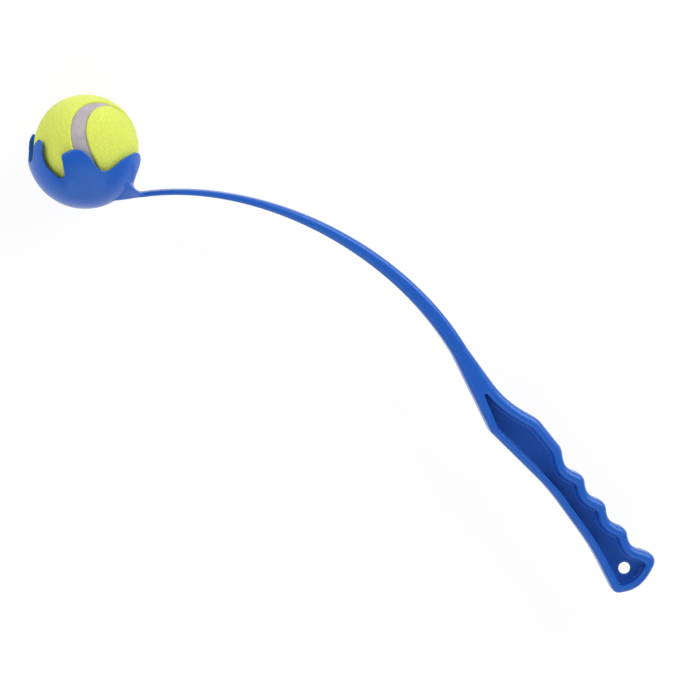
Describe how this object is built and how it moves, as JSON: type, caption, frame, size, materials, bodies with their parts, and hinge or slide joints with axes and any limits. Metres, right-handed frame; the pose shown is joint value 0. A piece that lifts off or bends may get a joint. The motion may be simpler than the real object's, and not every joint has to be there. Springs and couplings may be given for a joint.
{
  "type": "dog ball launcher stick",
  "caption": "Bowed one-piece plastic throwing stick with a finger-grooved handle and a clawed cup that grips a felt ball",
  "frame": {"origin": "centre of the hanging hole in the butt, on the stick's mid plane", "axes": "+X from the ball to the butt, +Y toward the finger side and the mouth of the cup, +Z along the hanging hole"},
  "size_m": [0.4625, 0.0947, 0.0702],
  "materials": {
    "stick_plastic": "satin",
    "core_rubber": "matte",
    "felt": "matte",
    "seam_rubber": "matte"
  },
  "bodies": {
    "stick": {"handle": "stick_plastic", "shaft": "stick_plastic", "cup": "stick_plastic"},
    "ball": {"core_half_a": "core_rubber", "core_half_b": "core_rubber", "felt_panel_a": "felt", "felt_panel_b": "felt", "seam_strip": "seam_rubber"}
  },
  "joints": [
    {"name": "ball_release", "type": "slide", "parent": "stick", "child": "ball", "axis": [-0.5, 0.866, 0], "range_m": [0, 0.08]}
  ]
}
